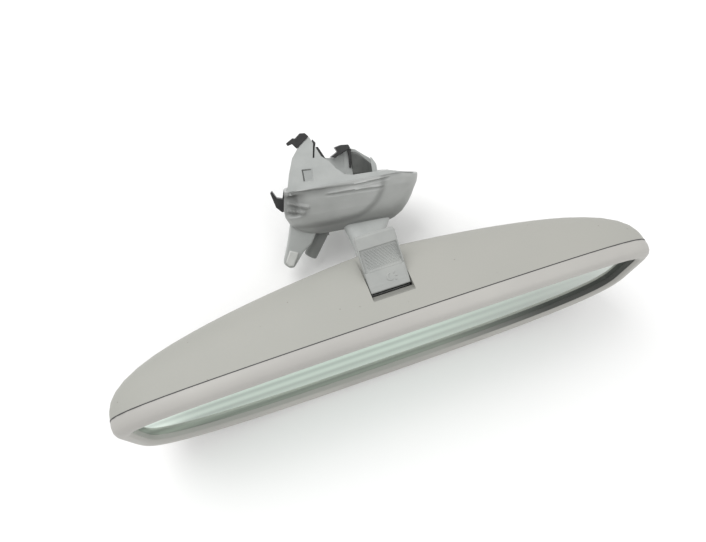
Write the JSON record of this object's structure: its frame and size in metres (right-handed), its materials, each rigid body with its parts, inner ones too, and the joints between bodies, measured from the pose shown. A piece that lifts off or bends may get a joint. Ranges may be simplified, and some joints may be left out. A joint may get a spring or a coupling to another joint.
{
  "type": "interior rearview mirror",
  "caption": "Wide prismatic interior rearview mirror with a day/night flip lever, on a ball-jointed arm with a claw-clip roof bracket.",
  "frame": {"origin": "centre of the seat of the bracket's three roof claws", "axes": "+X along the head's width, +Y from the glass towards the back of the head, +Z towards the side with the day/night lever, which faces down in the car: the assembly is stored turned over, as it lies on a table"},
  "size_m": [0.25, 0.1257, 0.0771],
  "materials": {
    "bracket_grey": "satin moulded plastic with flow marks",
    "pad_grey": "matte",
    "spring_black": "black phosphated spring steel",
    "zinc_steel": "zinc plated",
    "polished_steel": "polished",
    "spring_steel": "satin",
    "nylon_white": "satin",
    "carrier_black": "matte glass-filled plastic",
    "shell_grey": "fine grained matte",
    "bezel_taupe": "fine grained satin",
    "mirror_glass": "polished, pale green",
    "mirror_silver": "silvered",
    "foam_black": "matte foam",
    "lever_grey": "fine ribbed satin"
  },
  "bodies": {
    "bracket": {"bracket_bowl": "bracket_grey", "claw_frame": "bracket_grey", "claw_clip_a": "spring_black", "claw_clip_b": "spring_black", "claw_clip_c": "spring_black", "leg_pad": "pad_grey", "frame_screws": "zinc_steel", "stem_arm": "bracket_grey", "arm_screws": "zinc_steel", "ball_stud": "polished_steel"},
    "liner": {"ball_liner": "nylon_white"},
    "ring": {"clamp_ring": "spring_steel"},
    "carrier": {"carrier_plate": "carrier_black", "socket_cap": "carrier_black", "clamp_spring": "spring_steel", "cap_screws": "zinc_steel"},
    "head": {"rear_shell": "shell_grey", "front_bezel": "bezel_taupe", "prism_glass": "mirror_glass", "mirror_film": "mirror_silver", "backing_pad": "foam_black", "flip_pins": "zinc_steel", "lever_pin": "zinc_steel", "detent_spring": "spring_steel"},
    "lever": {"flip_lever": "lever_grey", "cam_pin": "zinc_steel"}
  },
  "joints": [
    {"name": "ball_twist", "type": "hinge", "parent": "bracket", "child": "liner", "pos_m": [0.0035, -0.0705, -0.006], "axis": [0.1799, 0.9751, -0.1296], "range_deg": [-15, 195]},
    {"name": "ball_tilt", "type": "hinge", "parent": "liner", "child": "ring", "pos_m": [0.0035, -0.0705, -0.006], "axis": [1, 0, 0], "range_deg": [-24, 6]},
    {"name": "ball_swing", "type": "hinge", "parent": "ring", "child": "carrier", "pos_m": [0.0035, -0.0705, -0.006], "axis": [0, 0, 1], "range_deg": [-24, 6]},
    {"name": "day_night_flip", "type": "hinge", "parent": "carrier", "child": "head", "pos_m": [0.0035, -0.087, -0.0245], "axis": [1, 0, 0], "range_deg": [0, 4.4]},
    {"name": "lever_turn", "type": "hinge", "parent": "head", "child": "lever", "pos_m": [0.0045, -0.0791, 0.0284], "axis": [1, 0, 0], "range_deg": [0, 32.1]}
  ],
  "couplings": [
    {"joint": "lever_turn", "follows": "day_night_flip", "ratio": 7.2727}
  ]
}
